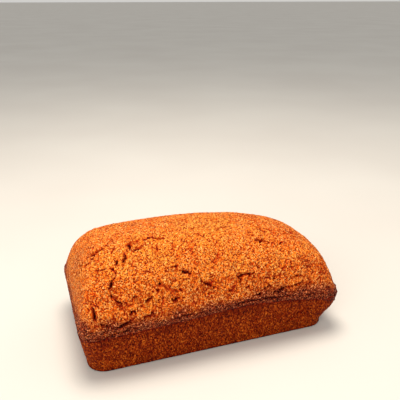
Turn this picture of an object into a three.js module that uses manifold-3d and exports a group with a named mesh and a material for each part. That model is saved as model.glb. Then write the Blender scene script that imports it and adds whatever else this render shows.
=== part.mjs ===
// A banana bread loaf, baked in a tapered loaf pan and turned out to stand on its flat base.
//
// The loaf bakes as one piece, and it is modelled as the zones that baking makes of it: the soft crumb
// inside, the thin crust that each wall and the floor of the pan browned, the dark rim where the batter
// met the pan's edge, and the thicker, domed crust of the open top. Millimetres, +Z up, +X along the
// loaf. The front wall faces -Y, and the origin is the middle of the base.

import * as THREE from 'three';
import { mergeVertices } from 'three/addons/utils/BufferGeometryUtils.js';
import { ParametricGeometry } from 'three/addons/geometries/ParametricGeometry.js';
import Module from 'manifold-3d';

// Driving dimensions: the part that the pan shaped.
const BASE_LENGTH = 205;
const BASE_WIDTH = 106;
const BASE_CORNER_RADIUS = 15;
const BASE_EDGE_RADIUS = 1.5;
const RIM_LENGTH = 215.4;
const RIM_WIDTH = 122;
const RIM_CORNER_RADIUS = 14;

// The line where the batter met the pan's edge: its height over the base, and how it wanders.
const RIM_HEIGHT = 38.8;
const RIM_END_DROP = 4;
const RIM_SWELL = 2.7;
const RIM_SWELL_AT = 25;
const RIM_SWELL_HALF_LENGTH = 32;
const RIM_SWELL_FADE = 6;
const RIM_SAG = 2.5;
const RIM_SAG_FROM = 50;

// The rim itself: a band that stands out over the walls.
const LIP_HEIGHT = 6.5;
const LIP_OVERHANG = 1.3;

// The risen top. It peaks left of the middle and a little to the front, and each side has its own fall:
// a first power that says how far the flat reaches, and a second that says how steep the shoulder is.
const DOME_RISE = 51.7;
const PEAK_SHIFT_X = -0.317;
const PEAK_SHIFT_Y = -0.275;
const FALL = {
  left: [5.2, 0.6],
  right: [1.7, 0.2],
  front: [2.54, 0.65],
  back: [2.17, 0.34],
};
const CORNER_FALL = [24, 0.8];

// How thick the crust is, and the clearance between neighbouring solids.
const SIDE_CRUST = 3;
const BOTTOM_CRUST = 3;
const TOP_CRUST = 4.5;
const GAP = 0.3;

// How finely the curves are stepped.
const LONG_SIDE_STEPS = 12;
const SHORT_SIDE_STEPS = 7;
const CORNER_STEPS = 4;
const BASE_EDGE_STEPS = 2;
const WALL_STEPS = 2;
const LIP_STEPS = 3;
const DOME_STEPS = 14;

// Longer than any part of the loaf, for the cutting solids.
const BEYOND = 200;

const QUARTER_TURN = Math.PI / 2;
const { lerp, smoothstep } = THREE.MathUtils;

const wasm = await Module();
wasm.setup();

// ---------------------------------------------------------------------------------------------------
// The shape of the loaf

// Height of the rim line at x. It is highest near the middle and drops towards both ends. Inside the
// outline, where reach is under 1, it is the height that the top rises from, and its swell fades.
function rimHeight(x, reach = 1) {
  const drop = RIM_END_DROP * (x / (RIM_LENGTH / 2)) ** 2;
  const hump = Math.exp(-(((x - RIM_SWELL_AT) / RIM_SWELL_HALF_LENGTH) ** 2));
  const swell = RIM_SWELL * hump * reach ** RIM_SWELL_FADE;
  const sag = RIM_SAG * smoothstep(x, RIM_SAG_FROM, RIM_LENGTH / 2);
  return RIM_HEIGHT - drop + swell - sag;
}

// A coordinate from -1 to 1 with its zero moved to the peak, and both ends left where they are.
function shifted(t, shift) {
  return t - shift * (1 - t * t);
}

// How much of the rise is left at a reach of 0 (the peak) to 1 (the side).
function fall(reach, [flat, shoulder]) {
  return (1 - Math.min(reach, 1) ** flat) ** shoulder;
}

// Rise of the top over the rim at (x, y), where ring is 1 at the loaf's outline and 0 at its middle.
function domeRise(x, y, ring) {
  const along = shifted(x / (RIM_LENGTH / 2 + LIP_OVERHANG), PEAK_SHIFT_X);
  const across = shifted(y / (RIM_WIDTH / 2 + LIP_OVERHANG), PEAK_SHIFT_Y);
  const lengthwise = fall(Math.abs(along), along < 0 ? FALL.left : FALL.right);
  const crosswise = fall(Math.abs(across), across < 0 ? FALL.front : FALL.back);
  return DOME_RISE * lengthwise * crosswise * fall(ring, CORNER_FALL);
}

// The pan's outline, a rectangle with round corners. Its points come in the same order at every size.
function outline(halfLength, halfWidth, radius) {
  const x = halfLength - radius;
  const y = halfWidth - radius;
  const at = (px, py) => new THREE.Vector2(px, py);
  const side = (from, to) => new THREE.LineCurve(from, to);
  const corner = (cx, cy, from) =>
    new THREE.EllipseCurve(cx, cy, radius, radius, from, from + QUARTER_TURN, false, 0);
  const stretches = [
    [side(at(-x, -halfWidth), at(x, -halfWidth)), LONG_SIDE_STEPS],
    [corner(x, -y, -QUARTER_TURN), CORNER_STEPS],
    [side(at(halfLength, -y), at(halfLength, y)), SHORT_SIDE_STEPS],
    [corner(x, y, 0), CORNER_STEPS],
    [side(at(x, halfWidth), at(-x, halfWidth)), LONG_SIDE_STEPS],
    [corner(-x, y, QUARTER_TURN), CORNER_STEPS],
    [side(at(-halfLength, y), at(-halfLength, -y)), SHORT_SIDE_STEPS],
    [corner(-x, -y, 2 * QUARTER_TURN), CORNER_STEPS],
  ];
  return stretches.flatMap(([curve, steps]) => curve.getPoints(steps).slice(0, steps));
}

// One ring of the skin: an outline, with a height for each of its points.
function ring(halfLength, halfWidth, radius, height) {
  return outline(halfLength, halfWidth, radius).map((p, n) => new THREE.Vector3(p.x, p.y, height(p.x, n)));
}

// A ring drawn together into a point of the loaf's middle line.
function middle(height) {
  return ring(1, 1, 1, () => 0).map(() => new THREE.Vector3(0, 0, height));
}

// The rounded lower edge of the loaf, from its flat underside outwards and up.
function baseEdge() {
  return Array.from({ length: BASE_EDGE_STEPS + 1 }, (_, i) => {
    const turn = (i / BASE_EDGE_STEPS) * QUARTER_TURN;
    const inset = BASE_EDGE_RADIUS * (1 - Math.sin(turn));
    const height = BASE_EDGE_RADIUS * (1 - Math.cos(turn));
    return ring(BASE_LENGTH / 2 - inset, BASE_WIDTH / 2 - inset, BASE_CORNER_RADIUS - inset, () => height);
  });
}

// The sloping walls, from just over the bottom crust to just under the rim, at a depth inside the skin.
function wall(depth) {
  return Array.from({ length: WALL_STEPS + 1 }, (_, i) => {
    const up = i / WALL_STEPS;
    const halfLength = lerp(BASE_LENGTH, RIM_LENGTH, up) / 2;
    const halfWidth = lerp(BASE_WIDTH, RIM_WIDTH, up) / 2;
    const radius = lerp(BASE_CORNER_RADIUS, RIM_CORNER_RADIUS, up);
    const height = (x) => lerp(BOTTOM_CRUST + GAP, rimHeight(x) - GAP, up);
    return ring(halfLength - depth, halfWidth - depth, radius - depth, height);
  });
}

// The outside of the rim, which swells outwards from the wall to its full overhang.
function lip() {
  return Array.from({ length: LIP_STEPS + 1 }, (_, i) => {
    const up = i / LIP_STEPS;
    const out = LIP_OVERHANG * Math.sin(up * QUARTER_TURN);
    const height = (x) => rimHeight(x) + LIP_HEIGHT * up;
    return ring(RIM_LENGTH / 2 + out, RIM_WIDTH / 2 + out, RIM_CORNER_RADIUS + out, height);
  });
}

// The domed top from the rim to its middle: grown is how far its outline stands out over the wall's, and
// cover is the thickness of the crust over it.
function dome(grown, cover, lift) {
  const skin = outline(
    RIM_LENGTH / 2 + LIP_OVERHANG,
    RIM_WIDTH / 2 + LIP_OVERHANG,
    RIM_CORNER_RADIUS + LIP_OVERHANG,
  );
  return Array.from({ length: DOME_STEPS + 1 }, (_, i) => {
    const reach = i === DOME_STEPS ? 0 : Math.cos((i / DOME_STEPS) * QUARTER_TURN);
    const height = (x, n) => {
      const rise = domeRise(skin[n].x * reach, skin[n].y * reach, reach);
      return rimHeight(x * reach, reach) + LIP_HEIGHT + lift + Math.max(rise - cover, 0);
    };
    const full = ring(RIM_LENGTH / 2 + grown, RIM_WIDTH / 2 + grown, RIM_CORNER_RADIUS + grown, height);
    return full.map((p) => new THREE.Vector3(p.x * reach, p.y * reach, p.z));
  });
}

// ---------------------------------------------------------------------------------------------------
// Solids

// The closed surface through a stack of rings, which ends at a point on both sides or at its first ring.
function skinned(rings) {
  const columns = rings[0].length;
  const rows = rings.length - 1;
  const grid = (u, v, target) => {
    target.copy(rings[Math.round(v * rows)][Math.round(u * columns) % columns]);
  };
  return new ParametricGeometry(grid, columns, rows);
}

// A closed geometry as a solid. Only its position counts: shared corners are merged, and the triangles
// that this flattens to a line are left out.
function solid(geometry) {
  geometry.deleteAttribute('normal');
  geometry.deleteAttribute('uv');
  const merged = mergeVertices(geometry);
  const corners = merged.index.array;
  const triangles = [];
  for (let i = 0; i < corners.length; i += 3) {
    const [a, b, c] = corners.slice(i, i + 3);
    if (a !== b && b !== c && c !== a) triangles.push(a, b, c);
  }
  const mesh = new wasm.Mesh({
    numProp: 3,
    vertProperties: new Float32Array(merged.attributes.position.array),
    triVerts: new Uint32Array(triangles),
  });
  return new wasm.Manifold(mesh);
}

// The upright wedge of space in front of one wall. Its two flanks run out through the loaf's corners.
function wedge(towards) {
  const cornerX = BASE_LENGTH / 2 - BASE_CORNER_RADIUS;
  const cornerY = (BASE_WIDTH + RIM_WIDTH) / 4 - RIM_CORNER_RADIUS;
  const [near, half] = towards.x === 0 ? [cornerY, cornerX] : [cornerX, cornerY];
  const shape = new THREE.Shape();
  shape.moveTo(near + GAP, -half);
  shape.lineTo(BEYOND, -half - (BEYOND - near));
  shape.lineTo(BEYOND, half + (BEYOND - near));
  shape.lineTo(near + GAP, half);
  shape.closePath();
  const prism = new THREE.ExtrudeGeometry(shape, { depth: BEYOND, bevelEnabled: false });
  prism.rotateZ(Math.atan2(towards.y, towards.x));
  return solid(prism);
}

// ---------------------------------------------------------------------------------------------------
// The loaf's zones

function crumb() {
  const walls = wall(SIDE_CRUST + GAP);
  return solid(skinned([
    middle(BOTTOM_CRUST + GAP),
    ...walls,
    ...dome(-SIDE_CRUST - GAP, TOP_CRUST, -GAP),
  ]));
}

function bottomCrust() {
  const upperEdge = ring(BASE_LENGTH / 2, BASE_WIDTH / 2, BASE_CORNER_RADIUS, () => BOTTOM_CRUST);
  return solid(skinned([middle(0), ...baseEdge(), upperEdge, middle(BOTTOM_CRUST)]));
}

function rimCrust() {
  const outside = lip();
  const inside = [1, 0].map((up) =>
    ring(RIM_LENGTH / 2 - SIDE_CRUST, RIM_WIDTH / 2 - SIDE_CRUST, RIM_CORNER_RADIUS - SIDE_CRUST,
      (x) => rimHeight(x) + LIP_HEIGHT * up));
  return solid(skinned([...outside, ...inside, outside[0]]));
}

function topCrust() {
  const outside = dome(LIP_OVERHANG, 0, GAP);
  const inside = dome(-SIDE_CRUST, TOP_CRUST, GAP).reverse();
  return solid(skinned([...outside, ...inside, outside[0]]));
}

function wallCrust(towards) {
  const outside = wall(0);
  const inside = wall(SIDE_CRUST).reverse();
  return solid(skinned([...outside, ...inside, outside[0]])).intersect(wedge(towards));
}

// Colours as baked: pale crumb, orange-brown top, and darker where the metal of the pan browned it.
// All of it is dull, with a little shine where the sugar of the rim caramelised.
const ZONES = [
  { name: 'crumb', make: crumb, color: 0xe0b878, roughness: 0.9 },
  { name: 'bottom_crust', make: bottomCrust, color: 0x7a3812, roughness: 0.8 },
  { name: 'front_crust', make: () => wallCrust(new THREE.Vector2(0, -1)), color: 0x8a3a10, roughness: 0.8 },
  { name: 'back_crust', make: () => wallCrust(new THREE.Vector2(0, 1)), color: 0x8a3a10, roughness: 0.8 },
  { name: 'left_end_crust', make: () => wallCrust(new THREE.Vector2(-1, 0)), color: 0x84360e, roughness: 0.8 },
  { name: 'right_end_crust', make: () => wallCrust(new THREE.Vector2(1, 0)), color: 0x84360e, roughness: 0.8 },
  { name: 'rim_crust', make: rimCrust, color: 0x5c2414, roughness: 0.55 },
  { name: 'top_crust', make: topCrust, color: 0xe0701f, roughness: 0.85 },
];

const group = new THREE.Group();
for (const { name, make, color, roughness } of ZONES) {
  const { numProp, vertProperties, triVerts } = make().getMesh();
  const geometry = new THREE.BufferGeometry();
  geometry.setAttribute('position', new THREE.BufferAttribute(new Float32Array(vertProperties), numProp));
  geometry.setIndex(new THREE.BufferAttribute(new Uint32Array(triVerts), 1));
  geometry.computeVertexNormals();
  const material = new THREE.MeshStandardMaterial({ color, roughness, metalness: 0 });
  const mesh = new THREE.Mesh(geometry, material);
  mesh.name = name;
  group.add(mesh);
}

export default group;
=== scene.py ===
# %% [markdown]
# # A banana bread loaf
#
# A loaf pan shapes the lower half of this loaf: a flat base, four sloping walls and rounded corners. The
# upper half rises free, and the oven browns it into a grainy dome with pits, tears and folds. Between the
# two runs a dark rim, where the batter met the pan's edge and its sugar caramelised.
#
# The CAD model holds the plain form. This lesson builds the crusts over it as closed shells with real
# relief, and gives each its own material.

# %% Open the frame
import bpy
import bmesh
import math
import numpy as np
from mathutils import Euler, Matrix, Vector, noise


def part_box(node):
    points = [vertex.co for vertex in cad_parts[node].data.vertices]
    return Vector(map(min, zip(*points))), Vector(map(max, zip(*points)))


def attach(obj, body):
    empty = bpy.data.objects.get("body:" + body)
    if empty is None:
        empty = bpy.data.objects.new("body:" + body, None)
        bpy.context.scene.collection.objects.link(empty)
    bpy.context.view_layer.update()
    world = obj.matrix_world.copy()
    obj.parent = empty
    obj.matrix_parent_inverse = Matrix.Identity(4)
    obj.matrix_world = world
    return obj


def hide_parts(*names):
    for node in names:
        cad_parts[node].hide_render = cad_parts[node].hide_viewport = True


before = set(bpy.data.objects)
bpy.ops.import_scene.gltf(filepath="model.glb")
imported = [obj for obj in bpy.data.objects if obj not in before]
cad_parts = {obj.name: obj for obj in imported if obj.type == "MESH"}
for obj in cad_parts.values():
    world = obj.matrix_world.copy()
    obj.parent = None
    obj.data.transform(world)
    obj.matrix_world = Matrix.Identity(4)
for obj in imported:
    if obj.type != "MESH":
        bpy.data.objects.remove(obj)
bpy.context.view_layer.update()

# %% [markdown]
# ## The form of the loaf
#
# The base and the rim are rectangles with round corners. Their sizes come from the frame. The rim line is
# not level: it drops towards the ends, swells a little right of the middle and sags at the right end.

# %% Sizes
MM = 0.001
_, base_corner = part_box("bottom_crust")
_, rim_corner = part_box("rim_crust")

# Half length, half width and corner radius of the base's outline and of the rim's, without its lip.
LIP_OVERHANG = 1.3 * MM
BASE = np.array([base_corner[0], base_corner[1], 15 * MM])
RIM = np.array([rim_corner[0] - LIP_OVERHANG, rim_corner[1] - LIP_OVERHANG, 14 * MM])
BASE_HEIGHT = base_corner[2]
BASE_EDGE = 2.0 * MM

RIM_HEIGHT = 38.8 * MM
END_DROP = 4.0 * MM
RIM_SWELL, SWELL_AT, SWELL_REACH = 2.7 * MM, 25 * MM, 32 * MM
SWELL_FADE = 6
RIM_SAG, SAG_FROM = 2.5 * MM, 50 * MM


def smooth(value, low, high):
    """0 below low, 1 above high, and an even passage between them."""
    t = np.clip((value - low) / (high - low), 0, 1)
    return t * t * (3 - 2 * t)


def rim_height(x, reach=1.0):
    """Height of the rim line at x. Its swell fades inwards, at a reach under 1."""
    drop = END_DROP * (x / RIM[0]) ** 2
    swelling = RIM_SWELL * np.exp(-((x - SWELL_AT) / SWELL_REACH) ** 2) * reach**SWELL_FADE
    sag = RIM_SAG * smooth(x, SAG_FROM, RIM[0])
    return RIM_HEIGHT - drop + swelling - sag


# %% [markdown]
# The dome rises from the rim to a peak left of the middle. Each side falls away from the peak in its own
# manner, with one power that says how far the flat reaches and a second that says how steep the shoulder is.

# %% The dome
LIP_HEIGHT = 6.5 * MM
DOME_RISE = 51.7 * MM
PEAK_SHIFT = (-0.317, -0.275)
FALL_LEFT, FALL_RIGHT = (5.2, 0.6), (1.7, 0.2)
FALL_FRONT, FALL_BACK = (2.54, 0.65), (2.17, 0.34)
FALL_CORNER = (24, 0.8)


def fall(reach, powers):
    """How much of the rise is left at a reach of 0 (the peak) to 1 (the side)."""
    return (1 - np.minimum(np.abs(reach), 1) ** powers[0]) ** powers[1]


def dome_rise(x, y, reach):
    """Rise of the top over the rim. reach is 1 at the loaf's outline and 0 at its middle."""
    along = x / (RIM[0] + LIP_OVERHANG)
    along = along - PEAK_SHIFT[0] * (1 - along**2)
    across = y / (RIM[1] + LIP_OVERHANG)
    across = across - PEAK_SHIFT[1] * (1 - across**2)
    lengthwise = np.where(along < 0, fall(along, FALL_LEFT), fall(along, FALL_RIGHT))
    crosswise = np.where(across < 0, fall(across, FALL_FRONT), fall(across, FALL_BACK))
    return DOME_RISE * lengthwise * crosswise * fall(reach, FALL_CORNER)


# %% [markdown]
# One function walks round the pan's outline. A side is named by its quarter turn from the front, and t
# runs along it between the middles of its two round corners, so four sides close into the whole outline.

# %% The pan's outline
def pan_point(side, t, half_length, half_width, radius):
    """x and y of a point of the outline. side: 0 front, 1 right, 2 back, 3 left; t: -1 to 1."""
    facing_front = side % 2 == 0
    straight = np.where(facing_front, half_length, half_width) - radius
    run = np.abs(t) * (straight + radius * math.pi / 4)
    turn = np.maximum(run - straight, 0) / radius
    along = np.sign(t) * (np.minimum(run, straight) + radius * np.sin(turn))
    out = np.where(facing_front, half_width, half_length) - radius * (1 - np.cos(turn))
    cos, sin = np.array([1, 0, -1, 0])[side], np.array([0, 1, 0, -1])[side]
    return along * cos + out * sin, along * sin - out * cos


def square_to_outline(u, v):
    """Where (u, v) of a square from -1 to 1 lies: how far out it is, on which side, and where along it."""
    far = np.maximum(np.maximum(np.abs(u), np.abs(v)), 1e-9)
    side = np.where(np.abs(v) >= np.abs(u), np.where(v < 0, 0, 2), np.where(u > 0, 1, 3))
    t = np.choose(side, [u, v, -u, -v]) / far
    return far, side, t


# %% [markdown]
# ## Relief
#
# Baked batter is rough at several scales at once: broad swells where it rose unevenly, lumps under a
# centimetre wide, grains of about two millimetres with crevices between them, and pits left by
# bubbles. The crevices and pits are also darkened with painted shade. Each is a noise of its own size, and
# all of them are read at the point's place in space, so neighbouring pieces agree along the edges that they
# share. The warping noise takes a seed, which is set once, so that every run gives the same loaf.

# %% Noise at a given size
SCATTER = 31.7
WARP_SEED = 1
noise.seed_set(WARP_SEED)


def swell(points, size, seed=0):
    """Smooth noise from about -1 to 1, with features of that size."""
    shift = Vector((17.3, -9.1, 5.7)) * seed
    return np.array([noise.noise(Vector(p) / size + shift) for p in points])


def cells(points, size, seed=0):
    """For each point: distance to its grain's middle, to the next grain's, and the grain's own number.

    The distances are in grain sizes, and the number runs from 0 to 1.
    """
    shift = Vector((3.1, 7.7, -12.9)) * seed
    found = np.empty((len(points), 3))
    for row, p in zip(found, points):
        (near, second, *_), (middle, *_) = noise.voronoi(Vector(p) / size + shift)
        row[:] = near, second, noise.cell(middle * SCATTER)
    return found[:, 0], found[:, 1], found[:, 2]


def warped(points, size, amount):
    """The points, pushed about by noise of that size, so that grains aren't evenly round."""
    return points + amount * np.array([noise.noise_vector(Vector(p) / size) for p in points])


# %% [markdown]
# Grains and bubbles look alike on every crust, at sizes of their own, so two helpers make them.

# %% Grains and bubbles
# The width is in grain sizes. The thinnest is the crust that a hollow leaves, in millimetres.
CREVICE_WIDTH = 0.3
THINNEST = 0.3


def grained(points, size, seed, rise, sink, uneven):
    """Domed grains, each at a level of its own. Gives their height and the crevices between them."""
    near, second, number = cells(points, size, seed)
    crevice = 1 - smooth(second - near, 0.0, CREVICE_WIDTH)
    return rise * (0.5 - near) - sink * crevice + uneven * (number - 0.5), crevice


def bubbled(points, size, seed, rarity, bottom, brim):
    """1 on the bottom of a burst bubble and 0 past its brim. The rarity is the share of cells with none."""
    near, _, number = cells(points, size, seed)
    return (number > rarity) * (1 - smooth(near, bottom, brim))


# %% [markdown]
# ## Crust shells
#
# Every crust is a closed shell. It starts as a flat tray in the plane of its own two coordinates: a coarse
# grid, extruded once for the inner face, with its outer face divided finer. Then each corner is moved to
# its place on the loaf, and the outer ones by their relief as well.

# %% A tray
FINER = 4
EDGE = 1 - 1e-6
WELD = 0.001 * MM


def tray(columns, rows):
    """A thin box with both its large faces in grids, the upper one FINER times as fine."""
    mesh = bmesh.new()
    bmesh.ops.create_grid(mesh, x_segments=columns // FINER, y_segments=rows // FINER, size=1)
    made = bmesh.ops.extrude_face_region(mesh, geom=mesh.faces[:], use_keep_orig=True)["geom"]
    lower = [g for g in made if isinstance(g, bmesh.types.BMVert)]
    bmesh.ops.translate(mesh, verts=lower, vec=(0, 0, -1))
    upper_edges = [e for e in mesh.edges if all(v.co.z > -0.5 for v in e.verts)]
    bmesh.ops.subdivide_edges(mesh, edges=upper_edges, cuts=FINER - 1, use_grid_fill=True)
    return mesh


def open_ends(mesh):
    """Takes off a tray's two end faces, so that the ends can be welded into a ring."""
    ends = [f for f in mesh.faces if all(abs(v.co.x) > EDGE for v in f.verts)]
    bmesh.ops.delete(mesh, geom=ends, context="FACES")


# %% [markdown]
# A relief function gets the outer points in millimetres. It gives how far each is raised, how much painted
# shade it gets (0 to 1: shade painted into hollows, under the rim and along the floor) and how brown it is
# (bake, -1 to 1). The last two are kept on the mesh for the materials. Edges on the border between the outer
# face and the sides stay sharp.

# %% A shell
STEP = 1e-3


def normals_of(place, u, v):
    """The plain surface's normals, from its slope along u and along v."""
    along = place(u + STEP, v) - place(u - STEP, v)
    across = place(u, v + STEP) - place(u, v - STEP)
    normals = np.cross(along, across)
    return normals / np.linalg.norm(normals, axis=1)[:, None]


def keep_measures(mesh, painted_shade, bake):
    """Writes each corner's two measures, as layers that the materials read by name."""
    painted_shade_layer, bake_layer = [mesh.verts.layers.float.new(n) for n in ("painted_shade", "bake")]
    for vert, c, b in zip(mesh.verts, painted_shade, bake):
        vert[painted_shade_layer], vert[bake_layer] = c, b


def finished(name, mesh):
    """Turns the mesh into a piece of the scene and prints what was made."""
    bmesh.ops.recalc_face_normals(mesh, faces=mesh.faces)
    data = bpy.data.meshes.new(name)
    mesh.to_mesh(data)
    triangles = sum(len(f.verts) - 2 for f in mesh.faces)
    closed = all(e.is_manifold for e in mesh.edges)
    print(f"{name}: {triangles} triangles, closed {closed}, volume {mesh.calc_volume() * 1e6:.0f} cm3")
    mesh.free()
    piece = bpy.data.objects.new(name, data)
    bpy.context.scene.collection.objects.link(piece)
    return piece


def shell(name, columns, rows, place, thickness, relief, ring=False):
    """A closed crust, with its thickness in millimetres.

    place(u, v) gives the plain surface in metres, with u and v from -1 to 1. A negative thickness puts the
    inner face on the other side, for a surface that is laid out inner side up.
    """
    mesh = tray(columns, rows)
    if ring:
        open_ends(mesh)
    mesh.verts.ensure_lookup_table()
    flat = np.array([v.co for v in mesh.verts])
    u, v, outer = flat[:, 0], flat[:, 1], flat[:, 2] > -0.5
    points = place(u, v)
    raised, painted_shade, bake = np.zeros((3, len(flat)))
    raised[outer], painted_shade[outer], bake[outer] = relief(points[outer] / MM, u[outer], v[outer])
    shift = np.where(outer, raised, -thickness) * MM
    points = points + normals_of(place, u, v) * shift[:, None]
    border = outer & ((np.abs(v) > EDGE) | ((np.abs(u) > EDGE) & (not ring)))
    for edge in mesh.edges:
        edge.smooth = not all(border[vert.index] for vert in edge.verts)
    for vert, point in zip(mesh.verts, points):
        vert.co = point
    keep_measures(mesh, painted_shade, bake)
    if ring:
        bmesh.ops.remove_doubles(mesh, verts=mesh.verts, dist=WELD)
    for face in mesh.faces:
        face.smooth = True
    return finished(name, mesh)


# %% [markdown]
# ## The top crust
#
# This is the open-baked dome. It could be a sphere pushed into shape, but then its grid would bunch at
# poles. A square grid laid over the whole loaf has none. Its lines are drawn closer together towards the
# edge, where the dome is steep, so that its cells stay nearly square over the shoulder. At the very edge
# the crust is tucked in and sunk a little, so that it ends behind the rim.

# %% The top's plain surface
TOP_COLUMNS, TOP_ROWS = 348, 228
TOP_TUCK = 0.9 * MM
TOP_SINK, SINK_FROM = 1.2 * MM, 0.9
TOP_CROWDING = 1.25
TOP_THICKNESS = 4.4


def top_surface(u, v):
    """The dome over the square's (u, v)."""
    far, side, t = square_to_outline(u, v)
    reach = np.sin(TOP_CROWDING * np.minimum(far, 1)) / math.sin(TOP_CROWDING)
    reach = reach + np.maximum(far - 1, 0)
    half_length, half_width, radius = RIM + LIP_OVERHANG
    x, y = pan_point(side, t, half_length, half_width, radius)
    inside = np.minimum(reach, 1)
    rise = dome_rise(x * reach, y * reach, inside)
    inner_x, inner_y = pan_point(side, t, half_length - TOP_TUCK, half_width - TOP_TUCK, radius - TOP_TUCK)
    sink = TOP_SINK * smooth(far, SINK_FROM, 1)
    z = rim_height(inner_x * reach, inside) + LIP_HEIGHT - sink + rise
    return np.stack([inner_x * reach, inner_y * reach, z], axis=1)


# %% [markdown]
# Tears open where the crust set before the crumb stopped rising. A noise could scatter them, but the large
# ones are what tells one loaf from another, so each is placed one by one: a ragged line with a width and a
# depth, and a little curl of crust beside it. Those on the crown are placed in the plan of the loaf, and
# those on the steep front in its front view.

# %% Where the tears are
CROWN_TEARS = [
    # width, depth, and the line's points as x and y, in millimetres
    (4.8, 4.0, [(-82, -26.5), (-87, -25.5), (-92, -24)]),
    (1.9, 1.6, [(-93, -22), (-99, -16), (-99, -9)]),
    (1.8, 1.4, [(-90, -30), (-95, -28), (-98, -22)]),
    (1.9, 1.6, [(-105, 13), (-104, 5), (-103, 0)]),
    (3.2, 3.6, [(-36, -31), (-41, -29), (-44, -27)]),
    (2.3, 2.0, [(-44, -27), (-50, -28), (-54, -27)]),
    (2.8, 2.8, [(-51, -33), (-55, -34), (-57, -36), (-61, -37)]),
    (3.0, 3.2, [(-57, -28), (-62, -29), (-65, -32)]),
    (3.0, 3.1, [(-62, -29), (-64, -35)]),
    (3.4, 3.8, [(-68, -40), (-69.5, -42)]),
    (2.8, 3.6, [(-69, -42), (-72, -46)]),
    (2.6, 3.4, [(-74, -41), (-76, -44)]),
    (2.4, 2.4, [(-74, -30), (-77, -34)]),
    (2.7, 2.4, [(-78, -22), (-81, -24)]),
    (2.3, 1.9, [(-77, -46), (-80, -44)]),
    (1.9, 1.9, [(-35, -50), (-31, -50)]),
    (2.8, 2.6, [(-30, -52), (-26, -53), (-21, -54)]),
    (1.7, 2.0, [(8, -28), (15, -24), (21, -21)]),
    (1.5, 1.7, [(24, -16), (31, -15)]),
    (2.7, 2.6, [(40, -15), (45, -20), (48, -25), (50, -31)]),
    (2.8, 2.8, [(37, -40), (43, -40), (49, -42)]),
    (1.9, 1.7, [(33, -35), (39, -35)]),
    (2.4, 2.4, [(53, -23), (57, -30), (60, -36)]),
    (1.9, 1.9, [(24, -4), (34, 0)]),
    (2.3, 2.2, [(64, -22), (70, -28), (78, -32)]),
    (2.4, 2.2, [(70, 20), (76, 12), (82, 8)]),
    (2.0, 2.4, [(-60, 34), (-52, 38), (-44, 36)]),
    (1.8, 2.0, [(-22, 40), (-14, 38), (-6, 41)]),
    (1.8, 2.0, [(24, 40), (29, 37), (33, 39)]),
    (2.4, 2.2, [(36, 33), (43, 34), (50, 31)]),
    (1.8, 1.9, [(57, 24), (63, 26), (69, 22)]),
    (2.7, 2.5, [(-86, 22), (-84, 32), (-78, 40)]),
    (2.3, 2.0, [(96, -26), (99, -16), (99, -6)]),
]
FRONT_TEARS = [
    # width, depth, and the line's points as x and z, in millimetres
    (2.8, 3.6, [(-80, 77), (-82, 74), (-83, 70)]),
    (1.8, 2.1, [(-80, 78), (-77, 79)]),
    (2.0, 2.2, [(-83, 67), (-81, 66)]),
    (2.0, 2.2, [(-80, 64), (-77, 61), (-73, 61)]),
    (3.1, 3.2, [(-60, 60), (-56, 60), (-53, 62)]),
    (2.1, 2.3, [(-68, 62), (-63, 63)]),
    (2.9, 2.9, [(-46, 70), (-45, 70)]),
    (2.2, 2.3, [(-49, 66), (-47, 65)]),
    (2.4, 2.5, [(-40, 58), (-36, 56), (-32, 58)]),
    (3.2, 4.0, [(-96, 60), (-96, 55), (-95, 50)]),
    (1.8, 2.5, [(-95, 48), (-88, 46), (-82, 44)]),
    (2.2, 2.9, [(-81, 43.5), (-76, 45), (-70, 47)]),
    (2.4, 2.6, [(-71, 51), (-68, 52.5), (-65, 51.5)]),
    (1.8, 2.1, [(-63, 46), (-57, 48), (-51, 50)]),
    (2.2, 2.6, [(-15, 68), (-11, 65), (-7, 62), (-2, 60)]),
    (2.4, 2.7, [(15, 65), (21, 66), (26, 65.5), (32, 67)]),
    (2.2, 2.5, [(17, 64), (17, 60)]),
    (2.0, 2.1, [(21, 57), (25, 56)]),
    (1.7, 1.8, [(40, 60), (49, 59)]),
    (2.2, 3.0, [(44, 46), (49, 49), (54, 49.5), (60, 49.5)]),
    (1.8, 2.0, [(36, 52), (41, 54), (45, 53)]),
    (1.6, 1.8, [(62, 56), (68, 57.5), (73, 56.5)]),
    (1.7, 1.9, [(4, 55), (9, 56.5), (14, 55.5)]),
    (1.8, 2.3, [(60, 49.5), (66, 50), (73, 52)]),
    (1.8, 2.0, [(30, 48.5), (35, 49.5)]),
]


# %% [markdown]
# A tear's line is broken into short legs, each pushed a little aside. A place in the plan or in the front
# view becomes a point of the surface by looking for the nearest of many sampled points.

# %% Lines of the tears
LEG = 1.6
SIDEWAYS = 0.75
FRONT_HALF = -25
chance = np.random.default_rng(7)


def sampled(surface, columns, rows):
    """Points spread over a surface, in millimetres."""
    u, v = np.meshgrid(np.linspace(-1, 1, columns), np.linspace(-1, 1, rows))
    return surface(u.ravel(), v.ravel()) / MM


def seen_along(samples, axes):
    """A function that finds the sampled point at two coordinates, which are those of the two axes."""
    return lambda *mark: samples[np.argmin(((samples[:, axes] - mark) ** 2).sum(axis=1))]


def seen_from_front(samples):
    return seen_along(samples[samples[:, 1] < FRONT_HALF], [0, 2])


def tear_line(marks, place):
    """The ragged line of one tear, as points of the surface in millimetres."""
    ends = [place(*mark) for mark in marks]
    line = [ends[0]]
    for a, b in zip(ends[:-1], ends[1:]):
        steps = max(1, round(np.linalg.norm(b - a) / LEG))
        for i in range(1, steps + 1):
            line.append(a + (b - a) * i / steps + chance.uniform(-SIDEWAYS, SIDEWAYS, 3))
    return np.array(line)


def tear_lines(drawn, place):
    """A list of tears, each as its line, its width and its depth."""
    return [(tear_line(marks, place), width, depth) for width, depth, marks in drawn]


top_samples = sampled(top_surface, 500, 400)
tears = tear_lines(CROWN_TEARS, seen_along(top_samples, [0, 1]))
tears += tear_lines(FRONT_TEARS, seen_from_front(top_samples))

# %% [markdown]
# Besides the large tears, the whole top has small cracks of two to six millimetres, scattered by chance.

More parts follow.
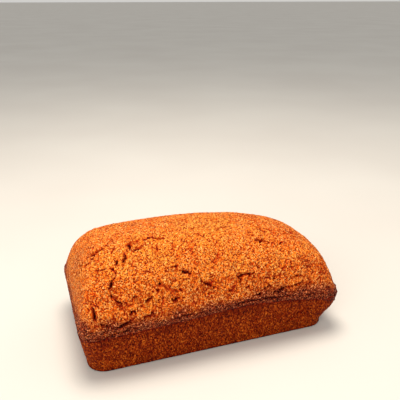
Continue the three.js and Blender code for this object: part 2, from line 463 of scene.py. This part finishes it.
# %% Small cracks
CRACKS = 220
CRACK_LENGTH = (2.0, 6.0)
CRACK_WIDTH = (0.8, 1.5)
CRACK_DEPTH = (0.7, 1.5)
CRACK_BEND = 0.8
CRACK_SLOPE = 0.3

for _ in range(CRACKS):
    start = top_samples[chance.integers(len(top_samples))]
    way = Vector((chance.normal(), chance.normal(), CRACK_SLOPE * chance.normal())).normalized()
    aim = start + chance.uniform(*CRACK_LENGTH) * np.array(way)
    end = top_samples[np.argmin(np.linalg.norm(top_samples - aim, axis=1))]
    middle = (start + end) / 2 + chance.uniform(-CRACK_BEND, CRACK_BEND, 3)
    line = np.array([start, middle, end])
    tears.append((line, chance.uniform(*CRACK_WIDTH), chance.uniform(*CRACK_DEPTH)))
print(len(tears), "tears on the top")

# %% [markdown]
# A tear is deepest in the middle of its line and tapers to its ends. Noise frays its two edges.

# %% Depth of the tears
TEAR_MARGIN = 4
CURL_HEIGHT, CURL_AT = 0.2, 2.1


def off_line(points, line):
    """Each point's distance from the line, and how far along the line it is, from 0 to 1."""
    gap, at = np.full(len(points), 1e9), np.zeros(len(points))
    for i, (a, b) in enumerate(zip(line[:-1], line[1:])):
        leg = b - a
        t = np.clip((points - a) @ leg / (leg @ leg), 0, 1)
        this_gap = np.linalg.norm(points - a - t[:, None] * leg, axis=1)
        closer = this_gap < gap
        gap[closer] = this_gap[closer]
        at[closer] = ((i + t) / (len(line) - 1))[closer]
    return gap, at


def tear_depth(points, line, width, depth):
    """How far a tear lowers each point, and how far it lies open there from 0 to 1."""
    lowered, opened = np.zeros(len(points)), np.zeros(len(points))
    near = np.all((points > line.min(0) - TEAR_MARGIN) & (points < line.max(0) + TEAR_MARGIN), axis=1)
    if not near.any():
        return lowered, opened
    close = points[near]
    gap, at = off_line(close, line)
    taper = 0.45 + 0.55 * np.sin(math.pi * at)
    half = width * taper / 2 * np.maximum(0.85 + 0.5 * swell(close, 2.6, 41), 0.3)
    gap = np.maximum(gap + 0.5 * swell(close, 1.3, 42), 0)
    opened[near] = 1 - smooth(gap, 0.5 * half, 1.2 * half)
    curl = CURL_HEIGHT * np.exp(-(((gap - CURL_AT * half) / half) ** 2))
    lowered[near] = depth * taper * (opened[near] - curl)
    return lowered, opened


def torn(points, tears):
    """All the tears of a list together: how deep, and how far open."""
    depth, gape = np.zeros(len(points)), np.zeros(len(points))
    for tear in tears:
        lowered, opened = tear_depth(points, *tear)
        depth, gape = depth + lowered, np.maximum(gape, opened)
    return depth, gape


# %% [markdown]
# The crust darkens towards the rim, with a ragged boundary that lies higher at the right end and at the
# front left corner. One function gives this for every piece, so the colour runs on from the top through
# the rim into the walls.

# %% Darkening at the rim
BAND_HEIGHT, BAND_MORE_RIGHT = 3.2, 1.6
BAND_FADE = 13.0
HIGH_CORNER = [(4.0, -98, -52, 20)]


def patches(points, placed):
    """Round patches in the plan, each with a strength at its middle, an x, a y and a radius."""
    off = [(s, (points[:, 0] - x) ** 2 + (points[:, 1] - y) ** 2, radius) for s, x, y, radius in placed]
    return sum(strength * np.exp(-distance / radius**2) for strength, distance, radius in off)


def over_rim(points):
    return points[:, 2] - rim_height(points[:, 0] * MM) / MM


def rim_band(points):
    """1 at the rim and 0 well over it."""
    wander = 3.5 * swell(points, 11, 31) + 2.2 * swell(points, 4.5, 32)
    more_right = BAND_MORE_RIGHT * smooth(points[:, 0], -20, 100)
    height = BAND_HEIGHT + more_right + patches(points, HIGH_CORNER)
    return 1 - smooth(over_rim(points) + wander - height, 0.0, BAND_FADE)


# %% [markdown]
# The top has one more feature: seams where the batter folded over itself. They gather low on the front and
# at the back right. The crust is broken open in two places at the left, and golden in three places. The
# largest, over the middle, is a painted highlight: the lamp's sheen painted in pale gold. The two smaller
# ones are where the oven browned it least.

# %% Seams and shades of the top
FOLDED_BACK = [(0.2, 45, 30, 34)]
BROKEN = [(0.75, -62, -32, 14), (0.6, -82, -58, 12)]
# The first golden patch is a painted highlight: the lamp's sheen on the middle of the dome, painted pale
# gold.
GOLDEN_AND_HIGHLIGHT = [(0.9, 4, -18, 26), (0.5, -40, -34, 20), (0.6, 46, -27, 9)]
DUSKY = [(0.25, 75, -28, 12)]
SEAM_SIZE, SEAM_WIDTH = 4.2, 0.16
SEAM_STRETCH = np.array([0.75, 1.2, 1.2])


def seamed(points, low_front):
    near, second, _ = cells(warped(points, 5.0, 1.8) * SEAM_STRETCH, SEAM_SIZE, 6)
    folded = swell(points, 7, 10) + 0.45 * low_front + patches(points, FOLDED_BACK)
    return (1 - smooth(second - near, 0.0, SEAM_WIDTH)) * smooth(folded, 0.27, 0.5)


def top_bake(points, far):
    """How brown the top is: -1 at its palest gold, which over the middle is a painted highlight, 1 at the
    rim.
    """
    dusky = 0.2 * smooth(swell(points, 24, 8), 0.05, 0.5) + patches(points, DUSKY)
    shoulder = 0.12 * smooth(far, 0.8, 0.98)
    pale_and_highlight = patches(points, GOLDEN_AND_HIGHLIGHT) + 0.4 * smooth(swell(points, 17, 9), 0.05, 0.45)
    return np.clip(rim_band(points) + (dusky + shoulder) - pale_and_highlight, -1, 1)


# %% [markdown]
# The coarse relief fades at the crust's edge, so that it meets the rim, and the fine grain runs on at less
# than half its height. No hollow reaches the inner face.

# %% Relief of the top
def top_relief(points, u, v):
    far = np.maximum(np.abs(u), np.abs(v))
    inner = 1 - smooth(far, 0.9, 1)
    low_front = smooth(-points[:, 1], 42, 58) * (1 - smooth(points[:, 2], 66, 84))
    broad = 0.6 * swell(points, 50, 1) + 0.3 * swell(points, 20, 2)
    lumps = 0.14 * swell(points, 8.5, 3) + 0.1 * swell(points, 4.2, 4)
    lumps = lumps * (1 + 1.2 * low_front)

    bent = warped(points, 4.0, 0.9)
    grains, crevice = grained(bent, 1.8, 1, rise=0.26, sink=0.2, uneven=0.16)
    bubble = bubbled(bent, 2.7, 2, rarity=0.68, bottom=0.08, brim=0.32)
    seams = seamed(points, low_front)
    fine = grains - 0.85 * bubble + 0.2 * swell(points, 1.15, 5) - seams
    broken = patches(points, BROKEN) * (0.3 + 0.9 * np.abs(swell(points, 3.4, 7)))
    depth, gape = torn(points, tears)

    raised = inner * (broad + lumps) + (0.4 + 0.6 * inner) * fine - broken - depth
    # Painted shade: crevices, burst bubbles, tears and fold seams are darkened where shade falls in them.
    painted_shade = np.clip(0.2 * crevice + 0.6 * bubble + gape + 0.6 * seams, 0, 1)
    return np.maximum(raised, THINNEST - TOP_THICKNESS), painted_shade, top_bake(points, far)


top_crust = shell("top_crust_baked", TOP_COLUMNS, TOP_ROWS, top_surface, TOP_THICKNESS, top_relief)

# %% [markdown]
# ## The pan-side crusts
#
# The metal of the pan gave the four walls an even grain, drawn out a little in height, with paler blotches.
# They start at the top of the rounded lower edge and run up behind the rim's overhang. One ring would do,
# but the CAD model parts the walls in the middle of each round corner, so each wall is a piece as well.

# %% Four walls
LONG_COLUMNS, SHORT_COLUMNS = 280, 160
WALL_ROWS = 52
WALL_THICKNESS = 2.2
WALL_TUCK = 1.2 * MM


def wall_surface(side):
    """The plain surface of one wall, leaning out from the base to the rim."""

    def place(u, v):
        up = (v + 1) / 2
        half_length, half_width, radius = (BASE[i] + (RIM[i] - BASE[i]) * up for i in range(3))
        x, y = pan_point(np.full(u.shape, side), u, half_length, half_width, radius)
        z = BASE_HEIGHT + (rim_height(x) + WALL_TUCK - BASE_HEIGHT) * up
        return np.stack([x, y, z], axis=1)

    return place


# %% [markdown]
# A fold in the paper or a scrape of the knife left slanting creases near the right end of the front wall.
# At that end the corner also bulges under the rim, and is drawn in near the floor.

# %% Creases and the corner of the walls
WALL_CREASES = [
    # width, depth, and the line's points as x and z, in millimetres
    (2.4, 1.5, [(60, 9), (67, 15), (73, 21), (81, 28)]),
    (1.8, 1.2, [(70, 10), (77, 18), (82, 24)]),
    (1.5, 0.8, [(24, 6), (30, 9), (37, 10)]),
]
CORNER = [(1.0, 106, -50, 15)]
CORNER_BULGE, CORNER_DRAWN_IN = 4.2, 1.2


def on_front_wall(x, z):
    up = (z * MM - BASE_HEIGHT) / (rim_height(x * MM) - BASE_HEIGHT)
    return np.array([x, -(BASE[1] + (RIM[1] - BASE[1]) * up) / MM, z])


wall_creases = tear_lines(WALL_CREASES, on_front_wall)


def corner_shape(points):
    z = points[:, 2]
    bulge = CORNER_BULGE * smooth(z, 8, 24) - CORNER_DRAWN_IN * (1 - smooth(z, 3, 12))
    return bulge * patches(points, CORNER)


# %% [markdown]
# The walls get painted shade under the rim and a painted contact shadow along the floor, and their crevices,
# bubbles and creases are darkened with painted shade. The same relief covers the base's edge and fades out
# just over the floor, so that the base is flat.

# %% Relief of the pan side
PAN_STRETCH = np.array([1, 1, 0.5])
GRAIN_STRETCH = np.array([1, 1, 0.7])


def pan_relief(points, u, v):
    """Relief of the crust that lay against the pan, on the walls and on the base's edge alike."""
    z = points[:, 2]
    upright = points * PAN_STRETCH
    broad = 0.45 * swell(points, 32, 11) + 0.25 * swell(upright, 9, 12)
    bent = warped(points, 3.0, 0.6)
    grains, crevice = grained(bent * GRAIN_STRETCH, 1.9, 3, rise=0.2, sink=0.14, uneven=0.14)
    bubble = bubbled(bent, 4.2, 4, rarity=0.72, bottom=0.06, brim=0.24)
    fine = 0.14 * swell(upright, 1.3, 13)
    creased, _ = torn(points, wall_creases)
    off_floor = smooth(z, 0.2, 2.5)
    raised = off_floor * (broad + grains - 0.7 * bubble + fine - creased + corner_shape(points))

    # Painted shade in crevices, bubbles and creases and under the rim, and a painted contact shadow along the
    # floor.
    hollows = 0.2 * crevice + 0.6 * bubble + 0.6 * smooth(creased, 0.2, 1.2)
    shaded = 0.45 * smooth(over_rim(points), -3, -1)
    floor_shadow = 0.9 * (1 - smooth(z, 0.5, 2.4))
    painted_shade = np.clip(hollows + shaded + floor_shadow, 0, 1)
    blotch = 0.5 + 0.6 * swell(upright, 12, 14) + 0.5 * swell(upright, 4, 15)
    bake = 0.75 * blotch + 0.6 * smooth(rim_band(points) - 0.4, 0, 0.6) * smooth(z, 24, 36)
    return np.maximum(raised, THINNEST - WALL_THICKNESS), painted_shade, np.clip(bake, 0, 1)


WALLS = {
    "front_crust": (0, LONG_COLUMNS),
    "right_end_crust": (1, SHORT_COLUMNS),
    "back_crust": (2, LONG_COLUMNS),
    "left_end_crust": (3, SHORT_COLUMNS),
}
walls = {
    node: shell(node + "_baked", columns, WALL_ROWS, wall_surface(side), WALL_THICKNESS, pan_relief)
    for node, (side, columns) in WALLS.items()
}

# %% [markdown]
# ## The bottom crust
#
# Flat where it lay on the floor of the pan, and rounded up at its edge to meet the walls. A plain disc would
# do for the flat part, but the rounded edge shows along the floor, so it gets the same grid and relief.

# %% The base
BASE_FLAT = 0.955
BASE_ROUND = 0.985
BASE_THICKNESS = 2.0


def bottom_surface(u, v):
    """The flat base, its rounded edge, and a short upright part that ends under the walls."""
    far, side, t = square_to_outline(u, v)
    turn = np.clip((far - BASE_FLAT) / (BASE_ROUND - BASE_FLAT), 0, 1) * math.pi / 2
    inset = BASE_EDGE * (1 - np.sin(turn))
    x, y = pan_point(side, t, BASE[0] - inset, BASE[1] - inset, BASE[2] - inset)
    reach = np.minimum(far / BASE_FLAT, 1)
    upright = (BASE_HEIGHT - BASE_EDGE) * np.maximum(far - BASE_ROUND, 0) / (1 - BASE_ROUND)
    z = BASE_EDGE * (1 - np.cos(turn)) + upright
    return np.stack([x * reach, y * reach, z], axis=1)


def bottom_relief(points, u, v):
    """The surface is laid out with its inner side up, so its relief is turned round."""
    raised, painted_shade, bake = pan_relief(points, u, v)
    return -raised, painted_shade, bake


bottom_crust = shell(
    "bottom_crust_baked", LONG_COLUMNS, SHORT_COLUMNS, bottom_surface, -BASE_THICKNESS, bottom_relief
)

# %% [markdown]
# ## The rim
#
# Where the batter met the pan's edge it set into a dark, rough band. It stands out over the wall by a
# little more than a millimetre, and less at the left end. Its upper edge runs into the dome. At the front
# right corner it boiled over and hangs down. A curve with a bevel would give the same bead, but a tray
# closed into a ring takes the relief that the other crusts have.

# %% The rim's profile
# How far each mark stands out over the rim line, and how far up, from the lower edge to the upper.
BEAD = np.array([(-1.6, -0.6), (0.2, -0.8), (0.9, 0.6), (1.3, 2.6), (1.3, 5.0), (0.1, 7.4)]) * MM
RIM_COLUMNS, RIM_ROWS = 880, 20
RIM_THICKNESS = 1.4


def round_loaf(u):
    """Side and t for a u that runs once round the loaf. Each side gets its share of the columns."""
    shares = np.array([LONG_COLUMNS, SHORT_COLUMNS, LONG_COLUMNS, SHORT_COLUMNS], float)
    ends = np.cumsum(shares) / shares.sum()
    turn = ((u + 1) / 2) % 1.0
    side = np.minimum(np.searchsorted(ends, turn, side="right"), 3)
    start = np.concatenate([[0], ends[:-1]])[side]
    return side, 2 * (turn - start) / (ends[side] - start) - 1


def bead_point(v):
    """How far out and how far up the bead is at v: a smooth curve through its marks."""
    at = (v + 1) / 2 * (len(BEAD) - 1)
    low = np.clip(np.floor(at).astype(int), 0, len(BEAD) - 2)
    s = (at - low)[:, None]
    p0, p1 = BEAD[np.maximum(low - 1, 0)], BEAD[low]
    p2, p3 = BEAD[low + 1], BEAD[np.minimum(low + 2, len(BEAD) - 1)]
    bend = 2 * p0 - 5 * p1 + 4 * p2 - p3 + s * (3 * (p1 - p2) + p3 - p0)
    bead = p1 + 0.5 * s * (p2 - p0 + s * bend)
    return bead[:, 0], bead[:, 1]


# %% [markdown]
# The bead is carried round the loaf. It grows from the left end towards the middle, and sags where it
# boiled over.

# %% The rim's plain surface
BOIL_OVER, BOIL_SPREAD = 6.0 * MM, 12 * MM
BOIL_X, BOIL_Y = 104 * MM, -56 * MM
BEAD_AT_LEFT = 0.4


def rim_surface(u, v):
    side, t = round_loaf(u)
    out, up = bead_point(v)
    x, y = pan_point(side, t, *RIM)
    out = out * (BEAD_AT_LEFT + (1 - BEAD_AT_LEFT) * smooth(x, -105 * MM, -50 * MM))
    x, y = pan_point(side, t, *(size + out for size in RIM))
    boiled_over = np.exp(-(((x - BOIL_X) / BOIL_SPREAD) ** 2) - ((y - BOIL_Y) / BOIL_SPREAD) ** 2)
    hang = BOIL_OVER * boiled_over * (1 - smooth(v, -0.9, 0.2))
    return np.stack([x, y, rim_height(x) + up - hang], axis=1)


# %% [markdown]
# The rim is lumpier than the crusts beside it, most of all at its boiled-over corner, and a little slimmer
# at the left end. Long creases run along it, and the tears of the top go on into it.

# %% Relief of the rim
RIM_CREASES = [
    # width, depth, and the line's points as x and z, in millimetres
    (1.8, 1.6, [(6, 44), (20, 45), (34, 45), (50, 43.5), (66, 42)]),
    (1.7, 1.5, [(70, 41), (82, 40), (92, 39)]),
    (1.6, 1.3, [(-40, 42.5), (-28, 43.5), (-16, 43.5)]),
    (1.6, 1.2, [(-92, 38.5), (-80, 40), (-66, 41)]),
]
KNOBBLY = [(1.0, 103, -58, 11)]
SLIM = [(0.5, -109, 0, 60)]
rim_creases = tear_lines(RIM_CREASES, seen_from_front(sampled(rim_surface, 1800, 21)))


def rim_relief(points, u, v):
    middle = 1 - np.abs(v) ** 4
    knobs = 0.5 * swell(points * GRAIN_STRETCH, 7.5, 21) + 0.45 * swell(points, 3.4, 22)
    corner = patches(points, KNOBBLY)
    knobs = knobs * (1 + 1.2 * corner) + corner - patches(points, SLIM)
    grains, crevice = grained(warped(points, 3.0, 0.7), 2.1, 5, rise=0.4, sink=0.28, uneven=0.3)
    fine = grains + 0.2 * swell(points, 1.2, 23)
    depth, gape = torn(points, tears + rim_creases)
    raised = middle * knobs + (0.3 + 0.7 * middle) * fine - depth
    # Painted shade under the bead's overhanging lower edge, and in its crevices, tears and creases.
    lower_edge_shade = 0.85 * (1 - smooth(v, -1.0, -0.1))
    painted_shade = np.clip(0.35 * crevice + gape + lower_edge_shade, 0, 1)
    return np.maximum(raised, THINNEST - RIM_THICKNESS), painted_shade, rim_band(points)


rim_crust = shell("rim_crust_baked", RIM_COLUMNS, RIM_ROWS, rim_surface, RIM_THICKNESS, rim_relief, ring=True)

# %% [markdown]
# ## Materials
#
# Colours are written as they look, in sRGB hex, and converted once.

# %% Helpers for materials
def colour(code):
    """An sRGB hex colour as linear red, green, blue and alpha."""
    parts = [int(code[i:i + 2], 16) / 255 for i in (1, 3, 5)]
    return [c / 12.92 if c <= 0.04045 else ((c + 0.055) / 1.055) ** 2.4 for c in parts] + [1]


def add(tree, kind, settings=None, **sockets):
    """A node of that kind, with its settings, and each socket set to a value or linked to another's."""
    made = tree.nodes.new("ShaderNode" + kind)
    for key, value in (settings or {}).items():
        setattr(made, key, value)
    for key, value in sockets.items():
        socket = made.inputs[int(key[1:]) if key[0] == "i" and key[1:].isdigit() else key.replace("_", " ")]
        if isinstance(value, bpy.types.NodeSocket):
            tree.links.new(value, socket)
        else:
            socket.default_value = value
    return made


def new_material(name):
    made = bpy.data.materials.new(name)
    made.use_nodes = True
    return made, made.node_tree, made.node_tree.nodes["Principled BSDF"]


def set_ramp(ramp, stops):
    """Colour stops as (position, hex)."""
    elements = ramp.color_ramp.elements
    while len(elements) < len(stops):
        elements.new(0.5)
    for element, (position, code) in zip(elements, stops):
        element.position, element.color = position, colour(code)


# %% [markdown]
# Every crumb of a crust has a shade of its own, read from a ramp of crust colours. A second ramp holds the
# colours of the more baked crust, and the mesh's bake measure says how much of it shows.

# %% Colours of a crust
OWN_SHADE, BLOTCH_SHADE, SHADE_SHIFT = 0.22, 0.12, 0.17
BLOTCH_SIZE = 14
# The pale gold paints paler crust and, on the middle of the top, a painted highlight.
PALE_GOLD_AND_HIGHLIGHT = "#f8aa3c"
PALENESS = 0.6


def crumb_shade(tree, in_mm, crumbs, speckle):
    """The shade along a ramp: the crumb's own, with speckles over it and broad blotches under it."""
    own_shade = add(tree, "SeparateColor", Color=crumbs.outputs["Color"]).outputs[0]
    blotch = add(tree, "TexNoise", Vector=in_mm, Scale=1 / BLOTCH_SIZE, Detail=3.0, Roughness=0.6)
    blotch = blotch.outputs["Fac"]
    multiply_add = {"operation": "MULTIPLY_ADD"}
    shade = add(tree, "Math", multiply_add, i0=own_shade, i1=OWN_SHADE, i2=speckle).outputs[0]
    shade = add(tree, "Math", multiply_add, i0=blotch, i1=BLOTCH_SHADE, i2=shade).outputs[0]
    return add(tree, "Math", {"operation": "SUBTRACT"}, i0=shade, i1=SHADE_SHIFT).outputs[0]


def browned_colour(tree, shade, fresh, baked):
    """The fresh stops or, where bake is 1, the baked ones. Where it is under 0, a pale gold covers them:
    paler crust, and over the top's middle a painted highlight.
    """
    fresh_ramp, baked_ramp = add(tree, "ValToRGB", Fac=shade), add(tree, "ValToRGB", Fac=shade)
    set_ramp(fresh_ramp, fresh)
    set_ramp(baked_ramp, baked)
    bake = add(tree, "Attribute", {"attribute_name": "bake"}).outputs["Fac"]
    mix = {"data_type": "RGBA"}
    browned = add(tree, "Mix", mix, i0=bake, i6=fresh_ramp.outputs[0], i7=baked_ramp.outputs[0]).outputs[2]
    clamped_product = {"operation": "MULTIPLY", "use_clamp": True}
    paleness = add(tree, "Math", clamped_product, i0=bake, i1=-PALENESS).outputs[0]
    return add(tree, "Mix", mix, i0=paleness, i6=browned, i7=colour(PALE_GOLD_AND_HIGHLIGHT)).outputs[2]


# %% [markdown]
# Creases and pinholes under a millimetre are too fine for the mesh. A crease runs where a noise crosses its
# middle value, and only in some areas. A pinhole sits in the middle of a few large cells. Both dent the bump
# and are darkened with painted shade.

# %% Creases and pinholes
CREASE_LINE, CREASE_AREAS, CREASE_DEPTH = (0.025, 0.085), (0.46, 0.52), 0.78
PINHOLE_BRIM, PINHOLE_DEPTH = (0.17, 0.28), 0.85
# Painted shade: the ramp that darkens hollows, creases, pinholes and the mesh's shaded places to red-brown.
HOLLOW_SHADE_STOPS = [(0.0, "#ffffff"), (0.3, "#ecae7c"), (0.65, "#b84e18"), (0.8, "#8e2c08"), (1.0, "#480a00")]


def fine_hollows(tree, in_mm, bend, bent, grain):
    """How deep the creases and pinholes are, from 0 to 1."""
    line = add(tree, "TexNoise", Vector=in_mm, Scale=0.95 / grain, Detail=1.5, Roughness=0.5).outputs["Fac"]
    line = add(tree, "Math", {"operation": "SUBTRACT"}, i0=line, i1=0.5).outputs[0]
    line = add(tree, "Math", {"operation": "ABSOLUTE"}, i0=line).outputs[0]
    thin, wide = CREASE_LINE
    line = add(tree, "MapRange", Value=line, i1=thin, i2=wide, i3=1.0, i4=0.0).outputs[0]
    few, many = CREASE_AREAS
    here = add(tree, "MapRange", Value=bend, i1=few, i2=many, i3=0.0, i4=CREASE_DEPTH).outputs[0]
    crease = add(tree, "Math", {"operation": "MULTIPLY"}, i0=line, i1=here).outputs[0]
    spots = add(tree, "TexVoronoi", Vector=bent, Scale=0.5 / grain).outputs["Distance"]
    bottom, brim = PINHOLE_BRIM
    pinhole = add(tree, "MapRange", Value=spots, i1=bottom, i2=brim, i3=PINHOLE_DEPTH, i4=0.0).outputs[0]
    return add(tree, "Math", {"operation": "MAXIMUM"}, i0=crease, i1=pinhole).outputs[0]


def darkened(tree, browned, hollow):
    """The crust's colour under painted shade: multiplied by a ramp that is red-brown where the mesh or the
    material is hollow, and where the mesh's measure paints shade under the rim or along the floor.
    """
    painted_shade = add(tree, "Attribute", {"attribute_name": "painted_shade"}).outputs["Fac"]
    seen = add(tree, "Math", {"operation": "MAXIMUM"}, i0=painted_shade, i1=hollow).outputs[0]
    dimmed = add(tree, "ValToRGB", Fac=seen)
    set_ramp(dimmed, HOLLOW_SHADE_STOPS)
    multiply = {"data_type": "RGBA", "blend_type": "MULTIPLY"}
    return add(tree, "Mix", multiply, i0=1.0, i6=browned, i7=dimmed.outputs[0]).outputs[2]


# %% [markdown]
# Roughness and bump follow the same speckles, crumbs and hollows as the colour, so what looks like a grain
# also catches the light as one.

# %% A crust's material
def crust_material(name, fresh, baked, grain, roughness, shine, bump, upright=1.0):
    """Baked crust, with crumbs of that grain and a bump of that depth in millimetres.

    An upright under 1 draws the crumbs out in height, and over 1 it flattens them.
    """
    material, tree, skin = new_material(name)
    where = add(tree, "TexCoord").outputs["Object"]
    scale = (1000, 1000, 1000 * upright)
    in_mm = add(tree, "VectorMath", {"operation": "MULTIPLY"}, i0=where, i1=scale).outputs["Vector"]
    bend = add(tree, "TexNoise", Vector=in_mm, Scale=0.8 / grain, Detail=1.0).outputs["Color"]
    amount = (0.9 * grain,) * 3
    multiply_add = {"operation": "MULTIPLY_ADD"}
    bent = add(tree, "VectorMath", multiply_add, i0=bend, i1=amount, i2=in_mm).outputs[0]
    crumbs = add(tree, "TexVoronoi", Vector=bent, Scale=1 / grain)
    speckle = add(tree, "TexNoise", Vector=in_mm, Scale=1.3 / grain, Detail=2.0, Roughness=0.6).outputs["Fac"]

    browned = browned_colour(tree, crumb_shade(tree, in_mm, crumbs, speckle), fresh, baked)
    hollow = fine_hollows(tree, in_mm, bend, bent, grain)
    tree.links.new(darkened(tree, browned, hollow), skin.inputs["Base Color"])

    rough = add(tree, "MapRange", Value=speckle, i1=0.35, i2=0.65, i3=roughness[0], i4=roughness[1])
    tree.links.new(rough.outputs[0], skin.inputs["Roughness"])
    skin.inputs["Specular IOR Level"].default_value = shine
    height = add(tree, "Math", multiply_add, i0=crumbs.outputs["Distance"], i1=-0.6, i2=speckle).outputs[0]
    height = add(tree, "Math", {"operation": "SUBTRACT"}, i0=height, i1=hollow).outputs[0]
    relief = add(tree, "Bump", Height=height, Distance=bump * MM, Strength=1.0)
    tree.links.new(relief.outputs["Normal"], skin.inputs["Normal"])
    return material


# %% [markdown]
# The open top is the brightest crust: orange-gold grains, with crevices made red-brown by painted shade and a
# reddish cast towards the rim. The bump makes each grain catch a point of light.

# %% Top crust
TOP_STOPS = [(0.31, "#e25a04"), (0.41, "#ff7a06"), (0.52, "#ff941a"), (0.63, "#ffc474")]
RIM_STOPS = [(0.37, "#340400"), (0.44, "#6a1c06"), (0.53, "#a8481c"), (0.63, "#f09c6a")]
top_material = crust_material(
    "open_baked_crust", TOP_STOPS, RIM_STOPS, grain=1.1, roughness=(0.55, 0.8), shine=0.1, bump=1.1
)

# %% [markdown]
# The pan's metal browned the walls to a deep, matt red-brown, with paler mottling where the batter held more
# banana. Its crumbs are drawn out in height.

# %% Pan-side crust
PAN_STOPS = [(0.34, "#641600"), (0.44, "#882d00"), (0.55, "#a04202"), (0.67, "#d67626")]
PAN_DARK_STOPS = [(0.34, "#5c1400"), (0.45, "#762400"), (0.55, "#883004"), (0.68, "#ac5414")]
pan_material = crust_material(
    "pan_baked_crust", PAN_STOPS, PAN_DARK_STOPS,
    grain=1.0, roughness=(0.6, 0.85), shine=0.05, bump=0.7, upright=0.5,
)

# %% [markdown]
# The rim is the darkest and the glossiest crust: its sugar has caramelised to a reddish dark brown. Its
# crumbs are flattened, and they run lengthwise.

# %% Rim crust
rim_material = crust_material(
    "caramelised_rim_crust", TOP_STOPS, RIM_STOPS,
    grain=1.2, roughness=(0.4, 0.65), shine=0.1, bump=1.6, upright=1.7,
)

# %% [markdown]
# The crumb is soft, moist and full of small holes. It is closed in by the crusts, and a slice would show
# it. Its CAD solid has the right form already, so it only gets a material.

# %% Crumb
crumb_material, tree, skin = new_material("banana_crumb")
where = add(tree, "TexCoord").outputs["Object"]
in_mm = add(tree, "VectorMath", {"operation": "SCALE"}, Vector=where, Scale=1000.0).outputs["Vector"]
pores = add(tree, "TexVoronoi", Vector=in_mm, Scale=0.45, Randomness=1.0).outputs["Distance"]
flecks = add(tree, "TexNoise", Vector=in_mm, Scale=0.3, Detail=4.0, Roughness=0.7).outputs["Fac"]
ramp = add(tree, "ValToRGB", Fac=flecks)
set_ramp(ramp, [(0.30, "#a9763a"), (0.45, "#d9ad6c"), (0.60, "#e8c78c"), (0.75, "#f0d8a6")])
# Painted shade: the pores are darkened to brown where shade falls in them.
hollow = add(tree, "MapRange", Value=pores, i1=0.1, i2=0.35, i3=0.7, i4=0.0).outputs[0]
mixed = add(tree, "Mix", {"data_type": "RGBA"}, i0=hollow, i6=ramp.outputs["Color"], i7=colour("#8a5a26"))
tree.links.new(mixed.outputs[2], skin.inputs["Base Color"])
damp = add(tree, "MapRange", Value=flecks, i1=0.3, i2=0.7, i3=0.6, i4=0.85).outputs[0]
tree.links.new(damp, skin.inputs["Roughness"])
sunk = add(tree, "Bump", Height=pores, Distance=0.8 * MM, Strength=1.0)
tree.links.new(sunk.outputs["Normal"], skin.inputs["Normal"])

# %% [markdown]
# ## Pieces on the frame
#
# Each baked crust stands for its plain CAD solid. The crumb keeps its CAD solid and gets its material.

# %% Ride and replace
MATERIALS = {"top_crust": top_material, "rim_crust": rim_material}
baked = {"top_crust": top_crust, "rim_crust": rim_crust, "bottom_crust": bottom_crust, **walls}
for node, piece in baked.items():
    piece.data.materials.append(MATERIALS.get(node, pan_material))
    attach(piece, "root")
    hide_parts(node)
    node if node in MATERIALS else "pan_crust"
    print(f"{piece.name} stands for {node}")

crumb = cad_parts["crumb"]
crumb.data.materials.clear()
crumb.data.materials.append(crumb_material)

# %% [markdown]
# ## Floor, light and camera
#
# The floor is pale and matt, with the faintest clouding, and wide enough to fill the view.

# %% Floor
FLOOR_SIZE = 60.0
mesh = bmesh.new()
bmesh.ops.create_grid(mesh, x_segments=1, y_segments=1, size=FLOOR_SIZE / 2)
floor_data = bpy.data.meshes.new("floor")
mesh.to_mesh(floor_data)
mesh.free()
floor = bpy.data.objects.new("floor", floor_data)
bpy.context.scene.collection.objects.link(floor)

floor_material, tree, skin = new_material("pale_floor")
where = add(tree, "TexCoord").outputs["Object"]
cloud = add(tree, "TexNoise", Vector=where, Scale=3.0, Detail=2.0).outputs["Fac"]
ramp = add(tree, "ValToRGB", Fac=cloud)
set_ramp(ramp, [(0.3, "#c6c2bc"), (0.7, "#ccc9c3")])
tree.links.new(ramp.outputs["Color"], skin.inputs["Base Color"])
skin.inputs["Roughness"].default_value = 0.8
floor_data.materials.append(floor_material)

# %% [markdown]
# The overhead lamp gives the dome its bright back and each grain its point of light. The fill and the pale
# surroundings keep the walls readable.

# %% Light
AIM = (0, 0, 0.05)


def area_light(name, location, size, watts, tint):
    """A round lamp that looks at the loaf."""
    data = bpy.data.lights.new(name, "AREA")
    data.shape = "DISK"
    data.size, data.energy, data.color = size, watts, colour(tint)[:3]
    lamp = bpy.data.objects.new(name, data)
    lamp.location = location
    lamp.rotation_euler = (Vector(AIM) - Vector(location)).to_track_quat("-Z", "Y").to_euler()
    bpy.context.scene.collection.objects.link(lamp)


area_light("overhead", (0.0, 0.1, 1.05), size=0.6, watts=12.5, tint="#fff4e6")
area_light("front_fill", (-0.75, -0.95, 0.7), size=0.9, watts=11, tint="#fff6ec")

world = bpy.data.worlds.new("studio")
world.use_nodes = True
surroundings = world.node_tree.nodes["Background"]
surroundings.inputs["Color"].default_value = colour("#f4f2ee")
surroundings.inputs["Strength"].default_value = 0.7
bpy.context.scene.world = world
bpy.context.scene.view_settings.view_transform = "Standard"

# %% [markdown]
# The camera stands in front and to the left, about half a metre away, and looks down on the loaf.

# %% Camera
# In degrees: how far the camera looks down, and how far it is turned to the right.
DOWN, TO_THE_RIGHT = 21.37, 19.21

camera_data = bpy.data.cameras.new("camera")
camera_data.lens = 46.7
camera_data.clip_start = 0.01
camera = bpy.data.objects.new("camera", camera_data)
camera.location = (-128.0 * MM, -379.2 * MM, 266.9 * MM)
camera.rotation_euler = Euler((math.radians(90 - DOWN), 0, math.radians(-TO_THE_RIGHT)))
bpy.context.scene.collection.objects.link(camera)
bpy.context.scene.camera = camera
